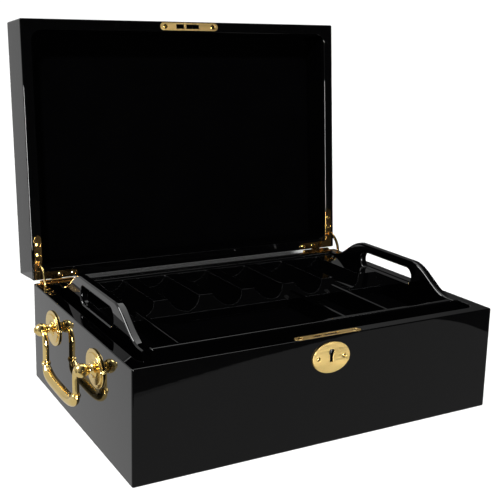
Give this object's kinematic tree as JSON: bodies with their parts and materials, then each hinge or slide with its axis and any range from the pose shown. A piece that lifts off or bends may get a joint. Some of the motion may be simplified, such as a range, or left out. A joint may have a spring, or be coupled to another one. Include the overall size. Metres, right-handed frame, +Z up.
{
  "type": "poker chip case",
  "caption": "Lacquered wooden chip case with a hinged lid, brass lock and bail handles, and a lift-out tray of chip rows.",
  "frame": {"origin": "middle of the underside of the case", "axes": "+X along the width to the right, +Y to the hinged back, +Z up; the lid stands open at its stop"},
  "size_m": [0.4636, 0.3829, 0.4122],
  "materials": {
    "black_lacquer": "black piano lacquer on wooden boards, polished to a mirror gloss",
    "polished_brass": "cast and sheet brass, polished bright",
    "black_felt": "short black velvet flock on thin board",
    "lock_steel": "plain pressed steel, lightly brushed"
  },
  "bodies": {
    "base": {"base_left_side": "black_lacquer", "base_right_side": "black_lacquer", "base_front_board": "black_lacquer", "base_back_board": "black_lacquer", "base_bottom_panel": "black_lacquer", "base_wall_felt": "black_felt", "base_floor_felt": "black_felt", "tray_ledge_left": "black_felt", "tray_ledge_right": "black_felt", "tray_ledge_front": "black_felt", "tray_ledge_back": "black_felt", "lower_chip_rack": "black_lacquer", "hinge_base_leaf_left": "polished_brass", "hinge_base_leaf_right": "polished_brass", "hinge_pin_left": "polished_brass", "hinge_pin_right": "polished_brass", "lock_case": "lock_steel", "lock_face_plate": "polished_brass", "lock_plate_screw_left": "polished_brass", "lock_plate_screw_right": "polished_brass", "escutcheon": "polished_brass", "escutcheon_screw_left": "polished_brass", "escutcheon_screw_right": "polished_brass", "handle_front_rosette_left": "polished_brass", "handle_rear_rosette_left": "polished_brass", "handle_front_nut_left": "lock_steel", "handle_rear_nut_left": "lock_steel", "handle_front_rosette_right": "polished_brass", "handle_rear_rosette_right": "polished_brass", "handle_front_nut_right": "lock_steel", "handle_rear_nut_right": "lock_steel"},
    "lid": {"lid_left_side": "black_lacquer", "lid_right_side": "black_lacquer", "lid_front_rail": "black_lacquer", "lid_back_rail": "black_lacquer", "lid_top_panel": "black_lacquer", "lid_wall_felt": "black_felt", "lid_pad": "black_felt", "strike_plate": "polished_brass", "strike_plate_screw_left": "polished_brass", "strike_plate_screw_right": "polished_brass", "hinge_lid_leaf_left": "polished_brass", "hinge_lid_leaf_right": "polished_brass"},
    "stay_left": {"hinge_stay_left": "polished_brass"},
    "stay_right": {"hinge_stay_right": "polished_brass"},
    "tray": {"tray_left_end": "black_lacquer", "tray_right_end": "black_lacquer", "tray_front_wall": "black_lacquer", "tray_back_wall": "black_lacquer", "tray_floor": "black_felt", "tray_chip_rack": "black_lacquer", "tray_divider_1": "black_lacquer", "tray_divider_2": "black_lacquer", "tray_divider_3": "black_lacquer"},
    "bail_left": {"handle_bail_left": "polished_brass"},
    "bail_right": {"handle_bail_right": "polished_brass"},
    "lock_cam": {"lock_cam": "lock_steel"},
    "lock_bolt": {"lock_bolt": "lock_steel"}
  },
  "joints": [
    {"name": "lid_hinge", "type": "hinge", "parent": "base", "child": "lid", "pos_m": [0, 0.1514, 0.113], "axis": [-1, 0, 0], "range_deg": [-95, 0]},
    {"name": "stay_left_swing", "type": "hinge", "parent": "base", "child": "stay_left", "pos_m": [0, 0.1514, 0.113], "axis": [-1, 0, 0], "range_deg": [-47.5, 0]},
    {"name": "stay_right_swing", "type": "hinge", "parent": "base", "child": "stay_right", "pos_m": [0, 0.1514, 0.113], "axis": [-1, 0, 0], "range_deg": [-47.5, 0]},
    {"name": "tray_lift", "type": "slide", "parent": "base", "child": "tray", "axis": [0, 0, 1], "range_m": [0, 0.12]},
    {"name": "bail_left_swing", "type": "hinge", "parent": "base", "child": "bail_left", "pos_m": [-0.2245, 0.009, 0.082], "axis": [0, 1, 0], "range_deg": [-8, 170]},
    {"name": "bail_right_swing", "type": "hinge", "parent": "base", "child": "bail_right", "pos_m": [0.2245, 0.009, 0.082], "axis": [0, -1, 0], "range_deg": [-8, 170]},
    {"name": "lock_bolt_slide", "type": "slide", "parent": "base", "child": "lock_bolt", "axis": [0, 0, 1], "range_m": [0, 0.006]},
    {"name": "lock_key_turn", "type": "hinge", "parent": "base", "child": "lock_cam", "pos_m": [0, -0.1431, 0.0964], "axis": [0, -1, 0], "range_deg": [0, 60]}
  ],
  "couplings": [
    {"joint": "stay_left_swing", "follows": "lid_hinge", "ratio": 0.5},
    {"joint": "stay_right_swing", "follows": "lid_hinge", "ratio": 0.5},
    {"joint": "lock_key_turn", "follows": "lock_bolt_slide", "rad_per_m": 174.5}
  ]
}
